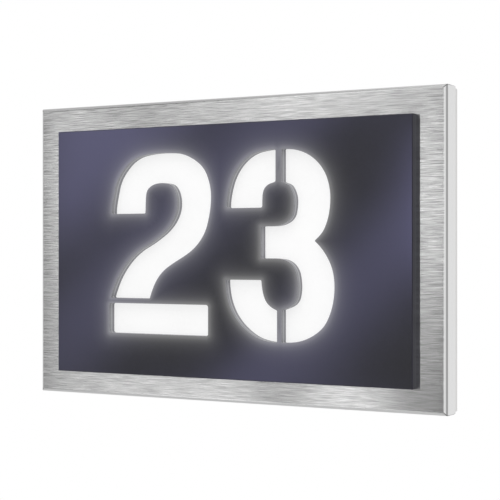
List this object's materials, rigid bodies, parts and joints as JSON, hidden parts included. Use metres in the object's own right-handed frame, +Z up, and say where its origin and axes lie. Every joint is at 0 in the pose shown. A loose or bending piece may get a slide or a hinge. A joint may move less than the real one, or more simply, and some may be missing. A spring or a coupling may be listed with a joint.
{
  "type": "illuminated house number sign",
  "caption": "Wall-mounted illuminated house number sign: a stencilled dark panel on a brushed steel frame, lit from behind, whose front pulls off its wall tray.",
  "frame": {"origin": "on the wall plane, behind the middle of the frame: the centre of the tray's back face", "axes": "+X to the right as the sign is read, +Y into the wall, +Z up; the digits face -Y"},
  "size_m": [0.308, 0.027, 0.2],
  "materials": {
    "brushed_stainless": "stainless sheet brushed along its length",
    "tray_stainless": "plain satin stainless sheet",
    "anthracite_plate": "satin anthracite finish on thick plate",
    "opal_acrylic": "opal, lit from behind",
    "foam_rubber": "closed-cell black rubber",
    "clamp_aluminium": "mill finish sheet",
    "zinc_screw": "zinc plated steel",
    "spring_steel": "bare spring strip",
    "white_plastic": "white moulding",
    "white_board": "white solder mask",
    "light_chip": "yellow phosphor in a white package",
    "clear_lens": "clear moulded acrylic",
    "grey_plastic": "fine textured grey moulding",
    "potting_resin": "black casting resin",
    "terminal_plastic": "natural nylon",
    "brass_tube": "plain brass",
    "tinned_copper": "tinned",
    "brown_insulation": "brown lead insulation",
    "blue_insulation": "blue lead insulation",
    "red_insulation": "red lead insulation",
    "black_insulation": "black lead insulation",
    "green_yellow_insulation": "green lead insulation with a yellow stripe"
  },
  "bodies": {
    "tray": {"wall_tray": "tray_stainless", "seal_rim": "tray_stainless", "rim_seal": "foam_rubber", "spring_clips": "spring_steel", "clip_rivets": "zinc_screw", "lock_nuts": "zinc_screw", "lock_screws": "zinc_screw", "cable_grommet": "foam_rubber", "light_box": "white_plastic", "light_board": "white_board", "board_screws": "zinc_screw", "light_chips": "light_chip", "light_lenses": "clear_lens", "board_socket": "white_plastic", "driver_case": "grey_plastic", "driver_lid": "grey_plastic", "driver_potting": "potting_resin", "driver_screws": "zinc_screw", "terminal_block": "terminal_plastic", "terminal_tubes": "brass_tube", "terminal_screws": "zinc_screw", "terminal_fixings": "zinc_screw", "earth_stud": "zinc_screw", "earth_nuts": "zinc_screw", "earth_ring": "tinned_copper", "live_lead": "brown_insulation", "neutral_lead": "blue_insulation", "plus_lead": "red_insulation", "minus_lead": "black_insulation", "earth_lead": "green_yellow_insulation"},
    "front": {"front_frame": "brushed_stainless", "number_panel": "anthracite_plate", "opal_diffuser": "opal_acrylic", "diffuser_gasket": "foam_rubber", "clamp_frame": "clamp_aluminium", "clamp_washers": "zinc_screw", "clamp_screws": "zinc_screw"}
  },
  "joints": [
    {"name": "front_pull_off", "type": "slide", "parent": "tray", "child": "front", "axis": [0, -1, 0], "range_m": [0, 0.03]}
  ]
}
